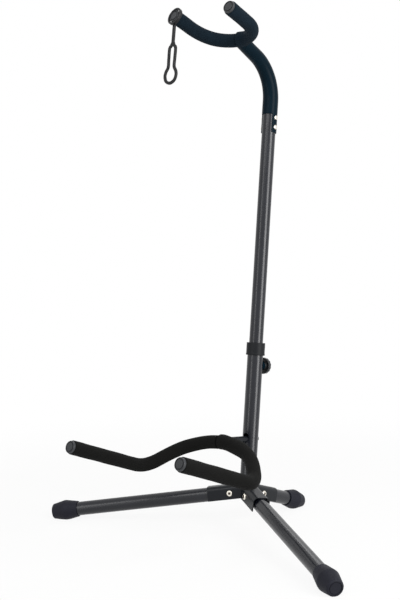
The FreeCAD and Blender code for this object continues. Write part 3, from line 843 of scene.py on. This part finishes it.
# %% Strap sizes
strap_thick = 0.0030
ring_width = 0.0050
ring_setback = 0.0030
ring_clearance = 0.0003
stem_width = 0.0055
strand_width = 0.0048
strand_gap = 0.0076
stem_length = 0.028
fork_length = 0.009
strand_length = 0.032
eye_outer = 0.027
eye_inner = 0.0186
eye_lap = 0.004
hang_ahead = math.radians(8.5)
squareness = 5
ring_turns = 72

strap_up = np.array([0.0, math.sin(hang_ahead), math.cos(hang_ahead)])
strap_front = np.array([0.0, math.cos(hang_ahead), -math.sin(hang_ahead)])
arm_way = (yoke_line[0] - yoke_line[1]) / np.linalg.norm(yoke_line[0] - yoke_line[1])
ring_middle = yoke_line[0] - arm_way * ring_setback


def smooth_line(points, count):
    """Curve through points: a cubic between each pair whose slopes come from the neighbours."""
    points = np.array(points, float)
    padded_points = np.concatenate([[2 * points[0] - points[1]], points, [2 * points[-1] - points[-2]]])
    t = np.linspace(0, 1, count, endpoint=False)[None, :, None]
    a, b, c, d = (padded_points[k:len(padded_points) - 3 + k][:, None] for k in range(4))
    square = 2 * a - 5 * b + 4 * c - d
    cube = 3 * b - a - 3 * c + d
    curve = 0.5 * (2 * b + (c - a) * t + square * t ** 2 + cube * t ** 3)
    return np.concatenate([curve.reshape(-1, points.shape[1]), points[-1:]])


def bar_grid(line, thick_way, width, thick, turns=28, closed=False):
    """Bar along a line: a rounded oblong section, width in the strap's plane and thickness across it.

    The section is the curve |a|^5 + |b|^5 = 1 stretched to the two sizes. A flat fan of faces closes
    each open end.
    """
    along = np.roll(line, -1, 0) - np.roll(line, 1, 0) if closed else np.gradient(line, axis=0)
    along = along / np.linalg.norm(along, axis=1)[:, None]
    wide = np.cross(along, thick_way)
    wide = wide / np.linalg.norm(wide, axis=1)[:, None]
    angle = np.linspace(0, 2 * math.pi, turns, endpoint=False)
    size = (np.abs(np.cos(angle)) ** squareness + np.abs(np.sin(angle)) ** squareness) ** (-1 / squareness)
    a = (size * np.cos(angle))[None, :, None] * np.asarray(width).reshape(-1, 1, 1) / 2
    b = (size * np.sin(angle))[None, :, None] * thick / 2
    thick_way = np.broadcast_to(thick_way, line.shape)
    grid = line[:, None] + a * wide[:, None] + b * thick_way[:, None]
    if not closed:
        ends = [np.broadcast_to(line[k], (1, turns, 3)) for k in (0, -1)]
        grid = np.concatenate([ends[0], grid, ends[1]])
    return grid


# %% Strap
ring_radius = sleeve_radius + ring_clearance + strap_thick / 2
turn = np.linspace(0, 2 * math.pi, ring_turns, endpoint=False)[:, None]
ring_side = np.cross(arm_way, mast_up)
ring_side = ring_side / np.linalg.norm(ring_side)
ring_top = np.cross(ring_side, arm_way)
ring_spokes = np.cos(turn) * ring_top + np.sin(turn) * ring_side
ring_line = ring_middle + ring_radius * ring_spokes
ring_surface = bar_grid(ring_line, ring_spokes, ring_width, strap_thick, closed=True)

fork_at = -ring_radius - stem_length
strand_at = fork_at - fork_length
eye_at = strand_at - strand_length - eye_outer / 2 + eye_lap
strand_middle = (strand_gap + strand_width) / 2
eye_radius = (eye_outer + eye_inner) / 4


def on_strap(points):
    """Points given as (across, up) in the strap's plane, in the row frame."""
    points = np.asarray(points)
    return ring_middle + points[:, :1] * mast_side + points[:, 1:] * strap_up


stem_lap = 0.003
loop_lap = 0.001
stem_line = np.linspace([0.0, -ring_radius], [0.0, fork_at - stem_lap], 40)
# Across and up, down one side of the loop: the fork, the strand, and half of the eye.
loop_half = [(0.0, fork_at + loop_lap), (strand_middle * 0.5, (fork_at + strand_at) / 2),
             (strand_middle, strand_at), (strand_middle, strand_at - 0.5 * strand_length),
             (strand_middle, eye_at + 0.0135), (eye_radius * 0.90, eye_at + 0.0062),
             (eye_radius, eye_at - 0.0005), (eye_radius * 0.72, eye_at - eye_radius * 0.70)]
loop_points = loop_half + [(0.0, eye_at - eye_radius)] + [(-x, z) for x, z in reversed(loop_half)]
loop_line = smooth_line(loop_points, 10)
strap_grids = [(ring_surface, True),
               (bar_grid(on_strap(stem_line), strap_front, stem_width, strap_thick), False),
               (bar_grid(on_strap(loop_line), strap_front, strand_width, strap_thick), False)]
strap = piece("rubber_neck_strap", strap_grids, "strap", strap_rubber, sharp=60)
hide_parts("neck_strap")
